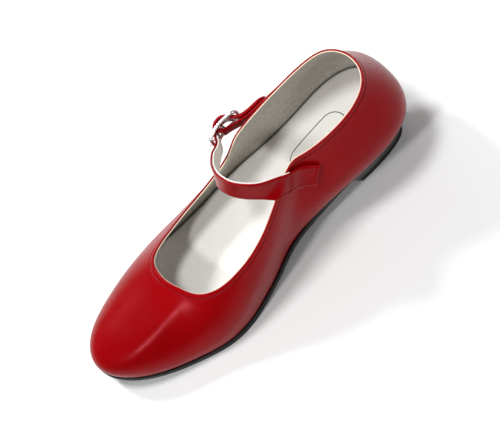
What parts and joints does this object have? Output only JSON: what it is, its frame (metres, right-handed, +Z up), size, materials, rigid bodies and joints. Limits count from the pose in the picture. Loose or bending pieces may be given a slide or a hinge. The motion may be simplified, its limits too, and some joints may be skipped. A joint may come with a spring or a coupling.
{
  "type": "flamenco shoe",
  "caption": "Right red strapped dance pump with a rounded toe, open throat, slanting buckled instep strap, thin black sole and low black block heel.",
  "frame": {"origin": "middle of the shoe's box at floor level, where the heel's top piece and the flat of the forepart stand at z = 0", "axes": "+X towards the toe, +Y towards the inner (big toe) side of the right shoe, +Z up"},
  "size_m": [0.2462, 0.084, 0.0893],
  "materials": {
    "red_leather": "smooth red synthetic leather, soft gloss",
    "insole_cloth": "off-white, fine grain, matt",
    "black_rubber": "black, matt",
    "black_heel": "black, painted, low gloss",
    "bright_steel": "bright, lightly worn"
  },
  "bodies": {
    "root": {"upper": "red_leather", "outsole": "black_rubber", "insole": "insole_cloth", "heel_block": "black_heel", "heel_lift": "black_rubber", "strap": "red_leather", "buckle_tab": "red_leather", "buckle_frame": "bright_steel", "buckle_prong": "bright_steel"}
  },
  "joints": []
}
